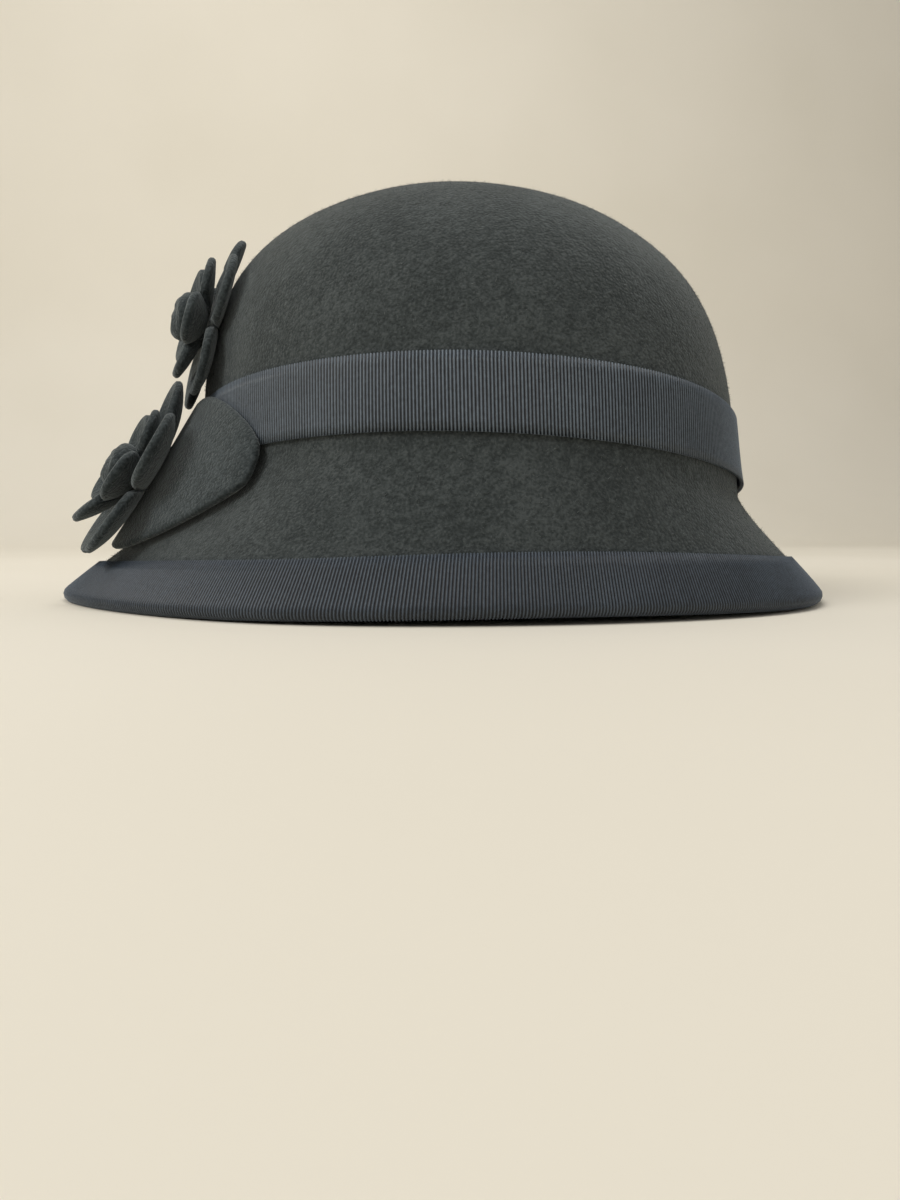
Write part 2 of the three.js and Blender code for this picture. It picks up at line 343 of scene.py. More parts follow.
def bump(tree, height, distance, shader, strength=1.0):
    node = tree.nodes.new("ShaderNodeBump")
    node.inputs["Distance"].default_value = distance
    node.inputs["Strength"].default_value = strength
    tree.links.new(height, node.inputs["Height"])
    tree.links.new(node.outputs["Normal"], shader.inputs["Normal"])


print("material helpers ready")

# %% Felt finishes


def felt_finish(name, dark, middle, light, sheen):
    material, tree, shader = new_material(name, 0.94, sheen, 0.45, (0.62, 0.68, 0.70))
    blots = math_node(tree, "MULTIPLY", noise(tree, 55, 2), 0.2)
    tufts = math_node(tree, "MULTIPLY", noise(tree, 420, 3), 0.3)
    fibres = math_node(tree, "MULTIPLY", noise(tree, 1300, 2), 0.5)
    mottle = math_node(tree, "ADD", math_node(tree, "ADD", blots, tufts), fibres)
    colour = colour_steps(tree, mottle, [(0.40, dark), (0.5, middle), (0.60, light)])
    tree.links.new(colour, shader.inputs["Base Color"])
    bump(tree, math_node(tree, "ADD", tufts, fibres), 0.0009, shader)
    return material


felt = felt_finish(
    "wool_felt", (0.022, 0.0270, 0.0275), (0.037, 0.0440, 0.0445), (0.058, 0.0670, 0.0680), 0.26
)
# The petals and the leaf are the hood's felt painted darker, as shade from how they turn from the light,
# and a little bluer.
shaded_petal_felt = felt_finish(
    "shaded_petal_felt", (0.018, 0.0235, 0.0250), (0.031, 0.0390, 0.0415), (0.050, 0.0605, 0.0640), 0.45
)
print("felt finishes:", felt.name, shaded_petal_felt.name)

# %% [markdown]
# ## The hood
# The outer skin runs from the top of the crown down the wall and out to the brim's edge, round the
# cut edge, and back up inside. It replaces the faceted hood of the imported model.

# %% The felt hood
ROUND = 256
CROWN_ROWS, WALL_ROWS, BRIM_ROWS, EDGE_ROWS = 34, 14, 22, 5
BAND_LOW, BAND_HIGH = 3.0, 22.0  # heights of the band's edges on the crown
turns = np.arange(ROUND) * FULL_TURN / ROUND


def hood_distances(azimuth):
    """Rows of distances from near the top of the crown to the brim's edge, for each azimuth."""
    band_sweep = math.asin((BAND_HIGH / CROWN_HEIGHT) ** (WALL_FULLNESS / 2))
    sweep = np.linspace(math.pi / 2, band_sweep, CROWN_ROWS + 1)[1:]
    crown = CROWN_HEIGHT * np.sin(sweep) ** (2 / WALL_FULLNESS)
    wall = np.linspace(BAND_HIGH, 0, WALL_ROWS + 1)[1:]
    upper = np.repeat(np.concatenate([crown, wall])[:, None], len(azimuth), axis=1)
    shares = np.linspace(0, 1, BRIM_ROWS + 1)[1:]
    return np.concatenate([upper, -shares[:, None] * brim_length(azimuth)])


def around_edge(azimuth, radius, angle):
    """A point round the brim's edge: angle 90 degrees is over it, 0 straight out, -90 under it."""
    end = -brim_length(azimuth)
    edge = on_hood(azimuth, end, 0 * azimuth)
    up = hood_normal(azimuth, end)
    out = unit(smooth_hood(azimuth, end) - smooth_hood(azimuth, end + 1))
    radius = np.asarray(radius)[..., None]
    return edge + radius * (up * math.sin(angle) + out * math.cos(angle))


distances = hood_distances(turns)
outer_skin = on_hood(turns, distances, np.full(distances.shape, FELT / 2))
inner_skin = on_hood(turns, distances, np.full(distances.shape, -FELT / 2))
edge_angles = np.radians(np.linspace(90, -90, EDGE_ROWS + 2)[1:-1])
cut_edge = np.stack([around_edge(turns, np.full(ROUND, FELT / 2), angle) for angle in edge_angles])
top = crown_point(np.array(0.0), np.array(CROWN_HEIGHT))
hood_mesh = body_of_rings(
    "felt_hood_dressed",
    np.concatenate([outer_skin, cut_edge, inner_skin[::-1]]),
    top + crown_axis * FELT / 2,
    top - crown_axis * FELT / 2,
)
hood_mesh.materials.append(felt)
hood = new_object("blocked_hood", hood_mesh)
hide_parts("felt_hood")
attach(hood, "root")
print("hood:", triangles_of(hood_mesh), "triangles")

# %% [markdown]
# ## Ribs of the ribbon
# Grosgrain ribbon has thick weft threads, so its face is a row of round ribs from edge to edge, a
# little under a millimetre apart, with a small scallop where each thread turns at the selvedge.
# Thousands of modelled ribs could be copied by hand. A Geometry Nodes tree does it on the plain
# ribbon instead: it reads how far round the ribbon a point is, works out its place on a rib, and
# moves it along two directions that the ribbon carries as attributes.

# %% The rib tree


def link_nodes(tree, *pairs):
    for source, target in pairs:
        tree.links.new(source, target)


def named_value(tree, name, kind):
    node = tree.nodes.new("GeometryNodeInputNamedAttribute")
    node.data_type = kind
    node.inputs["Name"].default_value = name
    return node.outputs["Attribute"]


def scaled(tree, vector, amount):
    node = tree.nodes.new("ShaderNodeVectorMath")
    node.operation = "SCALE"
    link_nodes(tree, (vector, node.inputs[0]), (amount, node.inputs["Scale"]))
    return node.outputs[0]


def tree_with_inputs(name, inputs):
    tree = bpy.data.node_groups.new(name, "GeometryNodeTree")
    tree.interface.new_socket("Geometry", in_out="INPUT", socket_type="NodeSocketGeometry")
    for label, kind in inputs:
        tree.interface.new_socket(label, in_out="INPUT", socket_type=kind)
    tree.interface.new_socket("Geometry", in_out="OUTPUT", socket_type="NodeSocketGeometry")
    return tree, tree.nodes.new("NodeGroupInput").outputs, tree.nodes.new("NodeGroupOutput").inputs


def end_tree(tree, geometry, material, output):
    """Every tree ends in real geometry with its material."""
    realize = tree.nodes.new("GeometryNodeRealizeInstances")
    paint = tree.nodes.new("GeometryNodeSetMaterial")
    link_nodes(
        tree,
        (geometry, realize.inputs["Geometry"]),
        (realize.outputs["Geometry"], paint.inputs["Geometry"]),
        (material, paint.inputs["Material"]),
        (paint.outputs["Geometry"], output),
    )


def rib_tree():
    tree, given, result = tree_with_inputs("grosgrain_ribs", [
        ("Ribs", "NodeSocketFloat"),
        ("Rib height", "NodeSocketFloat"),
        ("Scallop", "NodeSocketFloat"),
        ("Material", "NodeSocketMaterial"),
    ])
    place = math_node(tree, "MULTIPLY", named_value(tree, "round", "FLOAT"), given["Ribs"])
    wave = math_node(tree, "SINE", math_node(tree, "MULTIPLY", place, math.pi), 0.0)
    crest = math_node(tree, "ABSOLUTE", wave, 0.0)
    lift = scaled(tree, named_value(tree, "facing", "FLOAT_VECTOR"),
                  math_node(tree, "MULTIPLY", crest, given["Rib height"]))
    turn = scaled(tree, named_value(tree, "edge_way", "FLOAT_VECTOR"),
                  math_node(tree, "MULTIPLY", crest, given["Scallop"]))
    both = tree.nodes.new("ShaderNodeVectorMath")
    move = tree.nodes.new("GeometryNodeSetPosition")
    # The rib's crest is also kept for the material, which paints highlight on it and shade beside it.
    keep = tree.nodes.new("GeometryNodeStoreNamedAttribute")
    keep.data_type = "FLOAT"
    keep.inputs["Name"].default_value = "crest"
    link_nodes(
        tree,
        (lift, both.inputs[0]), (turn, both.inputs[1]),
        (given["Geometry"], keep.inputs["Geometry"]), (crest, keep.inputs["Value"]),
        (keep.outputs["Geometry"], move.inputs["Geometry"]),
        (both.outputs[0], move.inputs["Offset"]),
    )
    end_tree(tree, move.outputs["Geometry"], given["Material"], result["Geometry"])
    return tree


def made_by(tree, source, values, name):
    """Runs a tree on an object and leaves a plain mesh object in its place."""
    sockets = {s.name: s.identifier for s in tree.interface.items_tree if s.in_out == "INPUT"}
    modifier = source.modifiers.new(tree.name, "NODES")
    modifier.node_group = tree
    for label, value in values.items():
        modifier[sockets[label]] = value
    bpy.context.view_layer.update()
    depsgraph = bpy.context.evaluated_depsgraph_get()
    mesh = bpy.data.meshes.new_from_object(source.evaluated_get(depsgraph), depsgraph=depsgraph)
    mesh.name = name
    source.modifiers.remove(modifier)
    plain = source.data
    bpy.data.objects.remove(source)
    bpy.data.meshes.remove(plain)
    mesh.shade_smooth()
    return new_object(name, mesh)


ribs = rib_tree()
print("rib tree:", len(ribs.nodes), "nodes")

# %% [markdown]
# ## Ribbon finish, with painted light and shade on the ribs
# The ribbon is a bluer, slightly glossier dark than the felt. Painted highlight lies on the crests
# of the ribs and painted shade between them, and the threads vary a little along the length.

# %% Grosgrain


def ribbon_finish_and_painted_rib_light(name, groove, crest, roughness):
    material, tree, shader = new_material(name, roughness, 0.25, 0.4, (0.60, 0.68, 0.80))
    shader.inputs["Specular IOR Level"].default_value = 0.42
    attribute = tree.nodes.new("ShaderNodeAttribute")
    attribute.attribute_name = "crest"
    threads = math_node(tree, "MULTIPLY", math_node(tree, "SUBTRACT", noise(tree, 900, 3), 0.5), 0.6)
    cloudy = math_node(tree, "MULTIPLY", math_node(tree, "SUBTRACT", noise(tree, 60, 2), 0.5), 0.35)
    # Painted shade in the grooves and painted highlight on the crests, following the rib's shape.
    height = math_node(tree, "POWER", attribute.outputs["Fac"], 2.6)
    tone = math_node(tree, "ADD", math_node(tree, "ADD", height, threads), cloudy)
    tree.links.new(colour_steps(tree, tone, [(0.12, groove), (0.95, crest)]), shader.inputs["Base Color"])
    bump(tree, noise(tree, 2600, 2), 0.00012, shader, 0.6)
    return material


# The crest colour is a painted highlight and the groove colour is painted shade.
grosgrain = ribbon_finish_and_painted_rib_light("grosgrain", (0.003, 0.0045, 0.0065), (0.125, 0.156, 0.190), 0.45)
# The binding is the same ribbon with its crests painted darker as shade, where it faces up into the
# lights.
shaded_binding_grosgrain = ribbon_finish_and_painted_rib_light("shaded_binding_grosgrain", (0.003, 0.0045, 0.007), (0.064, 0.084, 0.110), 0.48)
print("ribbon finishes:", grosgrain.name, shaded_binding_grosgrain.name)

# %% [markdown]
# ## Band, binding and sweatband
# Each ribbon is a closed strip: an outer face with the ribs, and a plain back. A point carries where
# it is round the ribbon, which way the ribbon faces there and which way its nearest edge lies. The
# back carries no directions, so the tree leaves it flat.

# %% A ribbon from its face and its back
RIBBON = 1.0  # thickness over the ribs
RIB_HEIGHT = 0.45
SCALLOP = 0.22
COLUMNS_A_RIB = 4
RIB_PITCH = 0.96


def ribbon_piece(name, face, back, facing, edge_way, rib_count, finish):
    """face, facing and edge_way are rows of points round the hat, and back is its plain side."""
    mesh = body_of_rings(name, np.concatenate([face, back[::-1]]))
    plain = np.zeros(back.shape)
    round_share = np.arange(face.shape[1]) / face.shape[1]
    carried = {
        "facing": np.concatenate([facing, plain]),
        "edge_way": np.concatenate([edge_way, plain]),
    }
    for label, vectors in carried.items():
        attribute = mesh.attributes.new(label, "FLOAT_VECTOR", "POINT")
        attribute.data.foreach_set("vector", vectors.astype(np.float32).ravel())
    attribute = mesh.attributes.new("round", "FLOAT", "POINT")
    rows = len(face) + len(back)
    attribute.data.foreach_set("value", np.tile(round_share, rows).astype(np.float32))
    piece = made_by(ribs, new_object(name + "_plain", mesh), {
        "Ribs": float(rib_count),
        "Rib height": RIB_HEIGHT * MM,
        "Scallop": SCALLOP * MM,
        "Material": finish,
    }, name)
    print(name, "has", rib_count, "ribs and", triangles_of(piece.data), "triangles")
    return piece


def edge_directions(face):
    """Unit vectors along the first and last rows that point out of the strip, zero elsewhere."""
    ways = np.zeros(face.shape)
    ways[0] = unit(face[0] - face[1])
    ways[-1] = unit(face[-1] - face[-2])
    return ways


def ribs_round(azimuth_row):
    """How many ribs fit round a closed row of points."""
    around = np.linalg.norm(azimuth_row - np.roll(azimuth_row, 1, axis=0), axis=1).sum()
    return round(around / RIB_PITCH), around


print("ribbon helpers ready")

# %% The band round the crown
BAND_ROWS = 9
STAND_OFF = 0.7  # where the lower edge stands off the felt
STAND_TURN, STAND_SPAN = math.radians(52), math.radians(20)


def band_columns(height, side):
    row = on_hood(turns, np.full(ROUND, height), np.full(ROUND, side * FELT / 2))
    count, around = ribs_round(row)
    return np.arange(count * COLUMNS_A_RIB) * FULL_TURN / (count * COLUMNS_A_RIB), count, around


def band_offset(azimuth, heights, base):
    """The band lies on the felt, apart from one stretch where its lower edge has lifted."""
    lifted = np.exp(-(((azimuth - STAND_TURN) / STAND_SPAN) ** 2))
    low = np.clip((BAND_HIGH - heights) / (BAND_HIGH - BAND_LOW), 0, 1)[:, None] ** 3
    return base + STAND_OFF * lifted * low


def crown_ribbon(name, heights, side, finish, offset):
    middle = (heights[0] + heights[-1]) / 2
    azimuth, count, around = band_columns(middle, side)
    rows = heights[:, None] + 0 * azimuth
    over = on_hood(azimuth, rows, side * offset(azimuth, heights, FELT / 2 + GAP + RIBBON - RIB_HEIGHT))
    ends = heights[[0, -1]]
    rows_back = ends[:, None] + 0 * azimuth
    under = on_hood(azimuth, rows_back, side * offset(azimuth, ends, FELT / 2 + GAP))
    facing = side * hood_normal(azimuth, rows)
    piece = ribbon_piece(name, over, under, facing, edge_directions(over), count, finish)
    return piece, around


band_heights = np.linspace(BAND_HIGH, BAND_LOW, BAND_ROWS)
band, band_around = crown_ribbon("ribbon_band", band_heights, 1, grosgrain, band_offset)
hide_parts("hat_band")
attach(band, "root")

# %% The sweatband inside the crown
SWEATBAND_ROWS = 6


def flat_offset(azimuth, heights, base):
    return np.full((len(heights), len(azimuth)), base)


sweat_heights = np.linspace(BAND_HIGH, 0, SWEATBAND_ROWS)
sweatband, sweat_around = crown_ribbon("inner_sweatband", sweat_heights, -1, grosgrain, flat_offset)
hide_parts("sweatband")
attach(sweatband, "root")

# %% The binding folded over the brim's edge
BIND_ABOVE, BIND_BELOW = 12.5, 13.0
BIND_ROWS = 5  # on each side of the brim
FOLD_START = 0.5
FOLD_ANGLES = np.radians([72, 45, 15, -15, -45, -72])
JOIN_TURN, JOIN_SPAN, JOIN_BUMP = math.radians(238), math.radians(2.4), 0.7


def joined(azimuth, base):
    """The ribbon's ends overlap at one place near the back, which is thicker there."""
    away = (azimuth - JOIN_TURN) / JOIN_SPAN
    return base + JOIN_BUMP * np.exp(-(away ** 4))


def bind_skin(azimuth, offset, insets_above, insets_below, angles):
    def on_brim(inset, side):
        return on_hood(azimuth, inset - brim_length(azimuth), side * offset)

    rows = [on_brim(inset, 1) for inset in insets_above]
    rows += [around_edge(azimuth, offset, angle) for angle in angles]
    rows += [on_brim(inset, -1) for inset in insets_below]
    return np.stack(rows)


def skin_facing(azimuth, insets_above, insets_below, angles):
    """Which way the binding faces on each row: off the brim, round the fold, and under it."""
    still = 0 * azimuth
    middle = bind_skin(azimuth, still, insets_above, insets_below, angles)
    away = bind_skin(azimuth, still + 1, insets_above, insets_below, angles)
    return unit(away - middle)


edge_row = edge_point(turns)
bind_count, bind_around = ribs_round(edge_row)
bind_turns = np.arange(bind_count * COLUMNS_A_RIB) * FULL_TURN / (bind_count * COLUMNS_A_RIB)
above = np.linspace(BIND_ABOVE, FOLD_START, BIND_ROWS)
below = np.linspace(FOLD_START, BIND_BELOW, BIND_ROWS)
face_offset = joined(bind_turns, FELT / 2 + GAP + RIBBON - RIB_HEIGHT)
face = bind_skin(bind_turns, face_offset, above, below, FOLD_ANGLES)
face[..., 2] = np.maximum(face[..., 2], RIB_HEIGHT)  # it is pressed flat where it rests
back_offset = 0 * bind_turns + FELT / 2 + GAP
back = bind_skin(bind_turns, back_offset, above[::2], below[::2], FOLD_ANGLES)
facing = skin_facing(bind_turns, above, below, FOLD_ANGLES)
selvedges = edge_directions(face)
binding = ribbon_piece("edge_binding", face, back, facing, selvedges, bind_count, shaded_binding_grosgrain)
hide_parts("brim_binding")
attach(binding, "root")

# %% [markdown]
# ## Pieces of cut felt
# The leaf and the petals are cut from felt as thick as the hood's. The cut goes through the fibres,
# so the edge is blunt with a soft rounding, not sharp. One helper gives any cut piece its thickness:
# it takes the middle surface as rings round a centre point, lifts a face on each side, and carries a
# half round along the outline.

# %% A cut piece from its middle surface
PETAL = 2.4  # felt of the petals and the leaf
RIM_ANGLES = np.radians([60, 25, -25, -60])


def surface_normals(rings, centre):
    """Normals of a middle surface whose rings grow out from a centre point."""
    inner = np.concatenate([np.broadcast_to(centre, rings[:1].shape), rings[:-1]])
    outer = np.concatenate([rings[1:], 2 * rings[-1:] - rings[-2:-1]])
    aside = np.roll(rings, -1, axis=1) - np.roll(rings, 1, axis=1)
    return unit(np.cross(outer - inner, aside))


def cut_felt(name, rings, centre):
    half = PETAL / 2
    normals = surface_normals(rings, centre)
    middle = unit(normals[0].mean(axis=0))
    out = unit(rings[-1] - rings[-2])
    rim = np.stack([
        rings[-1] + half * (normals[-1] * math.sin(a) + out * math.cos(a)) for a in RIM_ANGLES
    ])
    skin = np.concatenate([rings + half * normals, rim, (rings - half * normals)[::-1]])
    return body_of_rings(name, skin, centre + middle * half, centre - middle * half)


print("cut felt is", PETAL, "mm thick")

# %% [markdown]
# ## The leaf
# The leaf lies over the band on the wearer's right. Its upper half is sewn to the wall of the crown
# and its lower edge rests on the brim, so it spans the hollow between them. It is measured in the
# hood's own azimuths and distances, which keeps it seated on what carries it.

# %% The leaf's outline and span
# Azimuth in degrees, then the distance of the lower and of the upper edge from the base of the crown
LEAF_TURN = np.array([269, 274, 283, 291, 298, 303.5, 306.5, 307.8])
LEAF_LOW = np.array([-22, -33, -36, -30, -22, -15.5, -12, -9.5])
LEAF_HIGH = np.array([8, 17, 20, 19, 15, 9.5, 5, 1])
LEAF_UNDERSIDE = FELT / 2 + GAP + RIBBON + GAP
LEAF_RINGS, LEAF_OUTLINE = 10, 160
LEAF_CENTRE_TURN, LEAF_CENTRE_DISTANCE = 287.0, -7.0
LEAF_ROUNDING = 3  # passes that round the corners off


def leaf_span(turn):
    """Lower and upper edge, and the direction that the leaf faces, at azimuths in degrees."""
    azimuth = np.radians(turn)
    low, high = np.interp(turn, LEAF_TURN, LEAF_LOW), np.interp(turn, LEAF_TURN, LEAF_HIGH)
    lower = on_hood(azimuth, low, np.full(azimuth.shape, LEAF_UNDERSIDE))
    upper = on_hood(azimuth, high, np.full(azimuth.shape, LEAF_UNDERSIDE))
    upward = unit(upper - lower)
    facing = unit(np.cross(stack(np.cos(azimuth), np.sin(azimuth), 0), upward))
    return lower, upper, upward, facing


def rounded_outline(points, count, passes):
    """Points evenly along a closed outline, with its corners rounded off."""
    for _ in range(passes):
        nearer = 0.75 * points + 0.25 * np.roll(points, -1, axis=0)
        further = 0.25 * points + 0.75 * np.roll(points, -1, axis=0)
        points = np.stack([nearer, further], axis=1).reshape(-1, 2)
    loop = np.concatenate([points, points[:1]])
    run = np.concatenate([[0], np.linalg.norm(np.diff(loop, axis=0), axis=1).cumsum()])
    even = np.linspace(0, run[-1], count + 1)[:-1]
    return np.stack([np.interp(even, run, loop[:, k]) for k in range(2)], axis=1)


# %% The leaf
DEGREE_WIDTH = 1.7  # millimetres of leaf for each degree, so that the outline is even
outline = np.concatenate([
    np.stack([LEAF_TURN * DEGREE_WIDTH, LEAF_LOW], axis=1),
    np.stack([LEAF_TURN * DEGREE_WIDTH, LEAF_HIGH], axis=1)[::-1],
])
outline = rounded_outline(outline, LEAF_OUTLINE, LEAF_ROUNDING)
leaf_middle = np.array([LEAF_CENTRE_TURN * DEGREE_WIDTH, LEAF_CENTRE_DISTANCE])
ring_shares = (np.arange(LEAF_RINGS) + 1)[:, None, None] / LEAF_RINGS
leaf_flat = leaf_middle + (outline - leaf_middle) * ring_shares


def leaf_surface(flat):
    turn = flat[..., 0] / DEGREE_WIDTH
    lower, upper, _, facing = leaf_span(turn)
    low, high = np.interp(turn, LEAF_TURN, LEAF_LOW), np.interp(turn, LEAF_TURN, LEAF_HIGH)
    share = ((flat[..., 1] - low) / np.maximum(high - low, 1))[..., None]
    return lower + (upper - lower) * share + facing * PETAL / 2


leaf_mesh = cut_felt("cut_leaf", leaf_surface(leaf_flat), leaf_surface(leaf_middle))
leaf_mesh.materials.append(shaded_petal_felt)
leaf = new_object("cut_leaf", leaf_mesh)
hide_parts("leaf")
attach(leaf, "root")

# %% [markdown]
# ## The flowers
# Each flower is two layers of five petals, cut in one piece and steamed so that every petal is
# cupped like a spoon, and a small rolled bud sewn in the middle. No two petals are steamed quite
# alike, so each has its own lift, taken from a short table rather than drawn at random.

# %% Petal layers
PETALS = 5
FLOWER_TURN = math.radians(282)
NOTCH, LOBE_ROUNDNESS = 0.46, 0.42  # the notch between petals, and how round a petal is
OUTER_CUP, INNER_CUP = 4.2, 5.6  # how far the rims of the petals stand up
OUTER_BEND, INNER_BEND = 3.6, 2.2  # the outer petals lie flat further out before they turn up
# How far each petal of a flower stands up, from the top one round: the lower flower's top petal most
UPPER_LIFT = np.array([1.0, 1.25, 0.85, 1.15, 0.9])
LOWER_LIFT = np.array([1.45, 1.15, 0.9, 1.0, 1.2])
PETAL_STEPS, PETAL_RINGS = 26, 14


def petal_rings(reach, cup, bend, turned, lift):
    """The middle surface of one layer, lying on z = 0 and facing +Z, with one petal up."""
    angle = np.arange(PETALS * PETAL_STEPS) * FULL_TURN / (PETALS * PETAL_STEPS)
    lobe = abs(np.cos(PETALS * angle / 2)) ** LOBE_ROUNDNESS
    outline = reach * (NOTCH + (1 - NOTCH) * lobe) - PETAL / 2
    shares = (np.arange(PETAL_RINGS) + 1)[:, None] / PETAL_RINGS
    own = np.round(angle / FULL_TURN * PETALS).astype(int) % PETALS
    height = cup * shares ** bend * np.sqrt(lobe) * lift[own]
    facing = angle + turned + math.pi / 2
    radius = outline * shares
    return stack(radius * np.cos(facing), radius * np.sin(facing), height + PETAL / 2)


def on_plane(seat, axes):
    """Carries points of a flower to a flat seat."""
    return lambda points: seat + points @ axes


def on_crown_wall(azimuth, height):
    """Carries points of a flower to the curved wall, measuring along the felt and not straight up."""
    turn_step = 0.01
    beside = smooth_hood(azimuth + turn_step, height) - smooth_hood(azimuth - turn_step, height)
    around = np.linalg.norm(beside) / (2 * turn_step)
    heights = np.linspace(0, CROWN_HEIGHT - 1, 200)
    steps = np.linalg.norm(np.diff(smooth_hood(azimuth, heights), axis=0), axis=1)
    run = np.concatenate([[0], steps.cumsum()])
    seat_run = np.interp(height, heights, run)

    def carry(points):
        x, y, z = points[..., 0], points[..., 1], points[..., 2]
        return on_hood(azimuth + x / around, np.interp(seat_run + y, run, heights), FELT / 2 + GAP + z)

    return carry


def flower_axes(facing, upward):
    side = unit(np.cross(upward, facing))
    return np.stack([side, np.cross(facing, side), facing])


def cut_area(rings, centre):
    """Area of a middle surface, which is the area that was cut from flat felt."""
    inner = np.concatenate([np.broadcast_to(centre, rings[:1].shape), rings[:-1]])
    across = (np.roll(rings, -1, axis=1) - rings + np.roll(inner, -1, axis=1) - inner) / 2
    return np.linalg.norm(np.cross(rings - inner, across), axis=-1).sum()


def cut_reach(rings, centre):
    """Length of the longest petal along its surface, from the middle of the flower."""
    line = np.concatenate([np.broadcast_to(centre, rings[:1].shape), rings])
    return np.linalg.norm(np.diff(line, axis=0), axis=-1).sum(axis=0).max()


print("each petal layer has", PETALS * PETAL_STEPS * PETAL_RINGS * 2, "faces on its two sides")

# %% [markdown]
# The bud is a strip of felt rolled up tightly, so from the side it is a few soft bumps and from above
# a spiral. Its surface is written in polar form: a round body, three soft lobes, and a groove that
# winds in towards the middle.

# %% Buds
BUD_HEIGHT = 8.0
BUD_TOP = 0.94  # the middle of the roll is a little lower than its rim
BUD_LOBES = 3
BUD_START = 0.02  # share of the sweep that is left flat under the bud
BUD_FULLNESS = 0.55  # lower is squarer
LOBE_DEPTH, GROOVE_DEPTH = 0.07, 0.10  # shares of the radius and of the height
GROOVE_WINDING = 7  # radians from the middle to the rim
BUD_STEPS, BUD_RINGS = 60, 26
LAYER_STEP = PETAL + GAP


def bud_rings(radius):
    angle = np.arange(BUD_STEPS) * FULL_TURN / BUD_STEPS
    sweep = np.linspace(BUD_START, 1, BUD_RINGS + 1)[1:-1, None]
    # from the middle of the underside, out round the side, to the middle of the top
    out = np.sin(np.pi * sweep) ** BUD_FULLNESS
    up = 0.5 - 0.5 * np.cos(np.pi * sweep)
    winding = np.cos(BUD_LOBES * angle + GROOVE_WINDING * out)
    body = radius * out * (1 + LOBE_DEPTH * np.cos(BUD_LOBES * angle) * up)
    height = BUD_HEIGHT * (up - GROOVE_DEPTH * (0.5 - 0.5 * winding) * up ** 3)
    return stack(body * np.cos(angle), body * np.sin(angle), height)


def flower(name, carry, sizes, lift):
    outer, inner, bud_radius = sizes
    layers = {
        "outer": (outer, OUTER_CUP, OUTER_BEND, 0.0),
        "inner": (inner, INNER_CUP, INNER_BEND, math.pi / PETALS),
    }
    for step, (label, (reach, cup, bend, turned)) in enumerate(layers.items()):
        raised = np.array([0, 0, step * LAYER_STEP])
        rings = carry(petal_rings(reach, cup, bend, turned, np.roll(lift, 2 * step)) + raised)
        centre = carry(np.array([0, 0, PETAL / 2]) + raised)
        mesh = cut_felt(f"{name}_{label}_petals", rings, centre)
        mesh.materials.append(shaded_petal_felt)
        piece = new_object(f"{name}_{label}_petals", mesh)
        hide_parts(f"{name}_{label}")
        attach(piece, "root")
        across = round(2 * float(cut_reach(rings, centre)) * MM, 4)
        area = round(float(cut_area(rings, centre)) * MM * MM, 6)
        print(piece.name, "is cut", across, "m across,", area, "square metres")
    raised = np.array([0, 0, 2 * LAYER_STEP])
    ends = carry(np.array([[0, 0, 0], [0, 0, BUD_TOP * BUD_HEIGHT]]) + raised)
    mesh = body_of_rings(f"{name}_bud", carry(bud_rings(bud_radius) + raised), ends[0], ends[1])
    mesh.materials.append(shaded_petal_felt)
    bud = new_object(f"{name}_bud", mesh)
    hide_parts(f"{name}_centre")
    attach(bud, "root")


# %% Two flowers on their seats
UPPER_HEIGHT = 45.5
UPPER_SIZES = (27.0, 17.5, 6.5)  # reach of the outer and of the inner petals, radius of the bud
LOWER_SIZES = (31.0, 21.0, 7.0)
LOWER_TURN, LOWER_UP = 282.1, 0.44  # azimuth in degrees, and share of the leaf's span
flower("upper_flower", on_crown_wall(FLOWER_TURN, UPPER_HEIGHT), UPPER_SIZES, UPPER_LIFT)
leaf_lower, leaf_upper, leaf_up, leaf_facing = leaf_span(np.array(LOWER_TURN))
lower_seat = leaf_lower + (leaf_upper - leaf_lower) * LOWER_UP + leaf_facing * (PETAL + GAP)
on_leaf = on_plane(lower_seat, flower_axes(leaf_facing, leaf_up))
flower("lower_flower", on_leaf, LOWER_SIZES, LOWER_LIFT)

# %% [markdown]
# ## Nap
# The surface of felt is brushed, so short fibres stand up from it. They are hardly seen one by one,
# but they speckle the dark felt and soften its outline against the light. A particle system would
# be lost when the model is exported. Geometry Nodes scatter thin spikes on the bare felt, lean each
# one its own way, and make them real.

# %% The nap tree


def random_value(tree, kind, low, high, seed):
    node = tree.nodes.new("FunctionNodeRandomValue")
    node.data_type = kind
    sockets = [s for s in node.inputs if s.enabled]
    sockets[0].default_value, sockets[1].default_value = low, high
    node.inputs["Seed"].default_value = seed
    return next(s for s in node.outputs if s.enabled)


def turned_by(tree, rotation, low, high, seed):
    euler = tree.nodes.new("FunctionNodeEulerToRotation")
    rotate = tree.nodes.new("FunctionNodeRotateRotation")
    rotate.rotation_space = "LOCAL"
    link_nodes(
        tree,
        (random_value(tree, "FLOAT_VECTOR", low, high, seed), euler.inputs[0]),
        (rotation, rotate.inputs["Rotation"]),
        (euler.outputs[0], rotate.inputs["Rotate By"]),
    )
    return rotate.outputs["Rotation"]


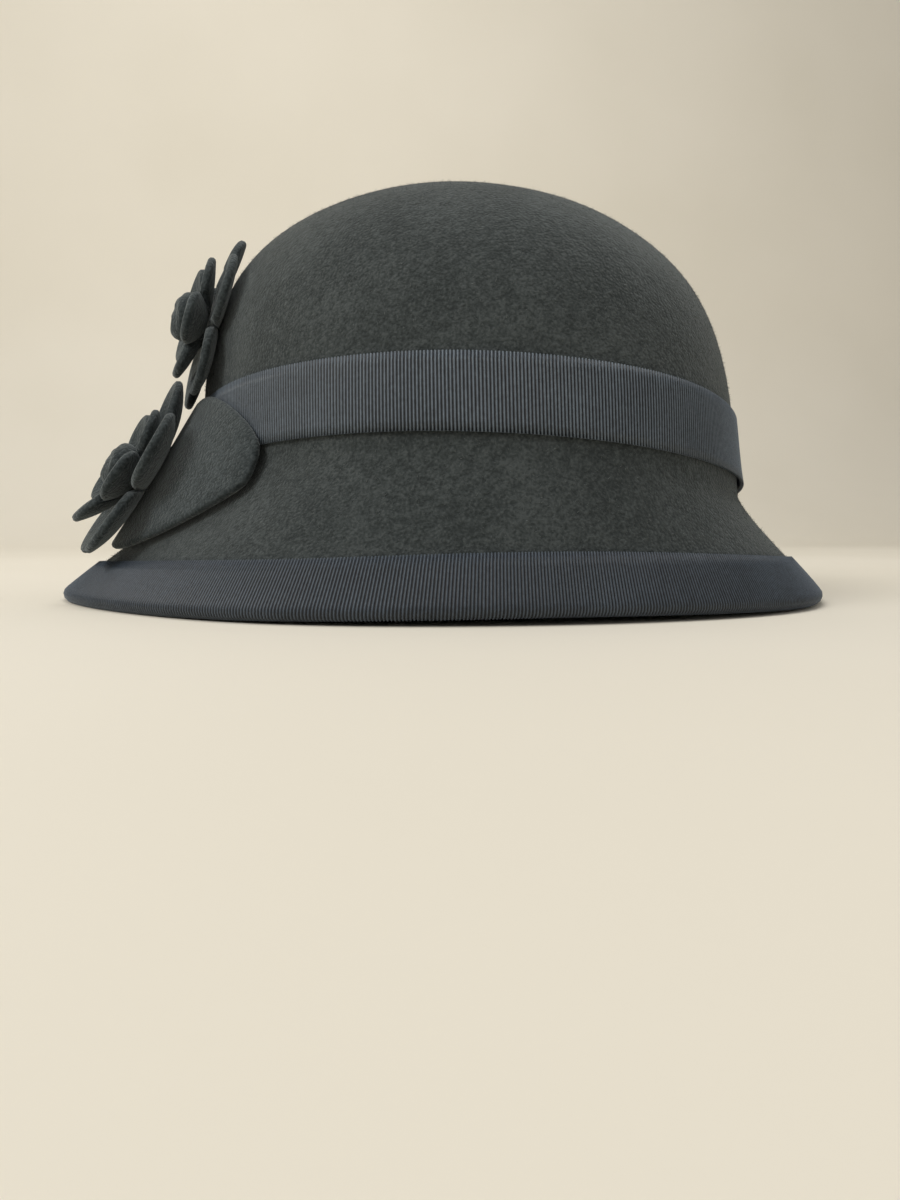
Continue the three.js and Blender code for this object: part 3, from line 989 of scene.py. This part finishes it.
def nap_tree():
    tree, given, result = tree_with_inputs("felt_nap", [
        ("Density", "NodeSocketFloat"),
        ("Fibre length", "NodeSocketFloat"),
        ("Fibre radius", "NodeSocketFloat"),
        ("Seed", "NodeSocketInt"),
        ("Material", "NodeSocketMaterial"),
    ])
    scatter = tree.nodes.new("GeometryNodeDistributePointsOnFaces")
    fibre = tree.nodes.new("GeometryNodeMeshCone")
    fibre.inputs["Vertices"].default_value = 3
    fibre.inputs["Radius Top"].default_value = 0
    place = tree.nodes.new("GeometryNodeInstanceOnPoints")
    spun = turned_by(tree, scatter.outputs["Rotation"], (0, 0, 0), (0, 0, FULL_TURN), 3)
    leaned = turned_by(tree, spun, (0.7, 0, 0), (1.38, 0, 0), 4)
    shade = tree.nodes.new("GeometryNodeStoreNamedAttribute")
    shade.data_type, shade.domain = "FLOAT", "INSTANCE"
    shade.inputs["Name"].default_value = "shade"
    link_nodes(
        tree,
        (given["Geometry"], scatter.inputs["Mesh"]),
        (given["Density"], scatter.inputs["Density"]),
        (given["Seed"], scatter.inputs["Seed"]),
        (given["Fibre radius"], fibre.inputs["Radius Bottom"]),
        (given["Fibre length"], fibre.inputs["Depth"]),
        (scatter.outputs["Points"], place.inputs["Points"]),
        (fibre.outputs["Mesh"], place.inputs["Instance"]),
        (leaned, place.inputs["Rotation"]),
        (random_value(tree, "FLOAT", 0.45, 1.25, 5), place.inputs["Scale"]),
        (place.outputs["Instances"], shade.inputs["Geometry"]),
        (random_value(tree, "FLOAT", 0.0, 1.0, 6), shade.inputs["Value"]),
    )
    end_tree(tree, shade.outputs["Geometry"], given["Material"], result["Geometry"])
    return tree


nap = nap_tree()
print("nap tree:", len(nap.nodes), "nodes")

# %% Nap on the bare felt of the hood
NAP_DENSITY = 0.42e6  # fibres on a square metre
FIBRE_LENGTH, FIBRE_RADIUS = 1.0, 0.042
CLEAR_ABOVE, CLEAR_BELOW = 0.5, 0.6  # felt without nap above the band, and below it to the binding
BRIM_NAP_ROWS = 16


def nap_finish():
    material, tree, shader = new_material("felt_fibres", 0.9, 0.3, 0.5, (0.62, 0.68, 0.70))
    attribute = tree.nodes.new("ShaderNodeAttribute")
    attribute.attribute_name = "shade"
    steps = [(0.0, (0.012, 0.015, 0.015)), (0.6, (0.030, 0.036, 0.036)), (1.0, (0.16, 0.175, 0.172))]
    tree.links.new(colour_steps(tree, attribute.outputs["Fac"], steps), shader.inputs["Base Color"])
    return material


def strip_of(name, rows):
    """An open sheet of the hood's outer face, for fibres to grow on."""
    count, columns = rows.shape[:2]
    mesh = bpy.data.meshes.new(name)
    faces = ring_faces(count, columns, closed=False)[:, ::-1]
    mesh.from_pydata((rows.reshape(-1, 3) * MM).tolist(), [], faces.tolist())
    return new_object(name, mesh)


fibres = nap_finish()
on_crown = distances[:, 0] > BAND_HIGH + CLEAR_ABOVE
bare_brim = np.linspace(0, 1, BRIM_NAP_ROWS)[:, None]
bare_top = BAND_LOW - CLEAR_BELOW
bare_rows = bare_top - bare_brim * (bare_top + brim_length(turns) - BIND_ABOVE - CLEAR_BELOW)
bare = {
    "crown_nap": (outer_skin[on_crown], 11),
    "brim_nap": (on_hood(turns, bare_rows, np.full(bare_rows.shape, FELT / 2)), 12),
}
for name, (rows, seed) in bare.items():
    piece = made_by(nap, strip_of(name + "_felt", rows), {
        "Density": NAP_DENSITY,
        "Fibre length": FIBRE_LENGTH * MM,
        "Fibre radius": FIBRE_RADIUS * MM,
        "Seed": seed,
        "Material": fibres,
    }, name)
    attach(piece, "root")
    print(name, triangles_of(piece.data), "triangles")

# %% [markdown]
# ## Studio
# A pale seamless sheet, large soft lights and a camera with a short lens close in front of the hat.
# The lights are wide so that the dark felt has a soft gradient and no hard highlight.

# %% Floor and backdrop
FLOOR_HALF, BACK_DISTANCE, BACK_HEIGHT, BACK_RADIUS = 5.0, 0.85, 2.6, 0.45


def backdrop():
    turn = np.linspace(0, math.pi / 2, 14)
    curve_y = BACK_DISTANCE + BACK_RADIUS * np.sin(turn)
    curve_z = BACK_RADIUS * (1 - np.cos(turn))
    profile = np.concatenate([
        [[-FLOOR_HALF, 0]], np.stack([curve_y, curve_z], axis=1),
        [[BACK_DISTANCE + BACK_RADIUS, BACK_HEIGHT]],
    ])
    sides = [[(x, y, z) for y, z in profile] for x in (-FLOOR_HALF, FLOOR_HALF)]
    count = len(profile)
    faces = [(i, count + i, count + i + 1, i + 1) for i in range(count - 1)]
    mesh = bpy.data.meshes.new("pale_sheet")
    mesh.from_pydata(sides[0] + sides[1], [], faces)
    mesh.shade_smooth()
    material, tree, shader = new_material("pale_sheet", 0.85, 0.0, 0.5, (1, 1, 1))
    tone = colour_steps(tree, noise(tree, 3, 3), [(0.3, (0.79, 0.745, 0.645)), (0.7, (0.83, 0.785, 0.69))])
    tree.links.new(tone, shader.inputs["Base Color"])
    mesh.materials.append(material)
    return new_object("pale_sheet", mesh)


backdrop()

# %% Lights


def soft_light(name, place, aim, size, power, colour):
    lamp = bpy.data.lights.new(name, "AREA")
    lamp.shape, lamp.size = "DISK", size
    lamp.energy, lamp.color = power, colour
    holder = bpy.data.objects.new(name, lamp)
    holder.location = place
    toward = np.array(aim) - np.array(place)
    flat = math.hypot(toward[0], toward[1])
    holder.rotation_euler = (math.atan2(flat, -toward[2]), 0, math.atan2(-toward[0], toward[1]))
    bpy.context.scene.collection.objects.link(holder)


world = bpy.data.worlds.new("studio")
bpy.context.scene.world = world
world.use_nodes = True
world.node_tree.nodes["Background"].inputs["Color"].default_value = (1.0, 0.98, 0.94, 1)
world.node_tree.nodes["Background"].inputs["Strength"].default_value = 0.40
soft_light("key", (-1.0, -0.6, 0.95), (0, 0, 0.06), 0.8, 11.0, (1.0, 0.98, 0.94))
soft_light("fill", (0.95, -0.65, 0.6), (0, 0, 0.06), 0.9, 0.8, (1.0, 0.98, 0.95))
soft_light("overhead", (0.1, 0.25, 1.3), (0, 0, 0.05), 1.0, 1.8, (1.0, 0.98, 0.95))
soft_light("backdrop_light", (0, 0.1, 1.5), (0, 1.4, 0.5), 0.8, 6.5, (1.0, 0.98, 0.95))
bpy.context.scene.view_settings.view_transform = "Standard"

# %% Camera
PHOTO_HEIGHT = 1200  # pixels
FOCAL_PIXELS = 935
CAMERA_PLACE = (-0.069, -0.330, 0.022)
CAMERA_YAW, CAMERA_PITCH = math.radians(-12.45), math.radians(-4.3)
SENSOR = 36.0

lens = bpy.data.cameras.new("photo_camera")
lens.sensor_width = SENSOR
lens.lens = SENSOR * FOCAL_PIXELS / PHOTO_HEIGHT
lens.clip_start = 0.005
camera = bpy.data.objects.new("photo_camera", lens)
camera.location = CAMERA_PLACE
camera.rotation_euler = (math.pi / 2 + CAMERA_PITCH, 0, CAMERA_YAW)
bpy.context.scene.collection.objects.link(camera)
bpy.context.scene.camera = camera
print("lens:", round(lens.lens, 2), "mm")
